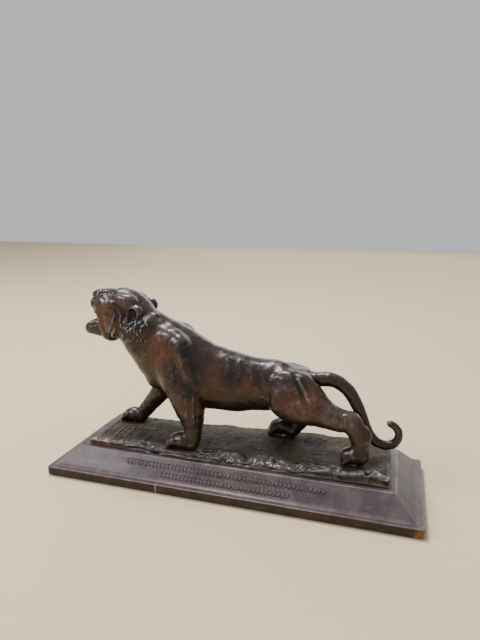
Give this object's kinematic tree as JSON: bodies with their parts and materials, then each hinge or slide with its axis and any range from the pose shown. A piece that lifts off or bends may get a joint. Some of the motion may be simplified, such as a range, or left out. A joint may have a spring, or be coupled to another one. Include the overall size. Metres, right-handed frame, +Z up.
{
  "type": "figural paperweight",
  "caption": "Cast metal desk paperweight: a roaring tiger striding over a rocky slab on a low plinth with sloping sides, felted underneath.",
  "frame": {"origin": "centre of the felt's underside, where the paperweight meets the desk", "axes": "+X along the plinth towards the tiger's tail, +Y towards the tiger's right side, +Z up"},
  "size_m": [0.15, 0.0524, 0.077],
  "materials": {
    "plinth_bronze": "purple-brown patina over a fine cast grain, rubbed bright on the edges",
    "ground_bronze": "mottled olive-brown patina, rough as cast",
    "figure_bronze": "waxed chocolate and red-brown patina",
    "screw_steel": "plain steel, slightly dulled",
    "felt": "dark green wool felt"
  },
  "bodies": {
    "root": {"plinth": "plinth_bronze", "ground": "ground_bronze", "tiger": "figure_bronze", "tail": "figure_bronze", "paw_screws": "screw_steel", "paw_washers": "screw_steel", "felt_pad": "felt"}
  },
  "joints": []
}
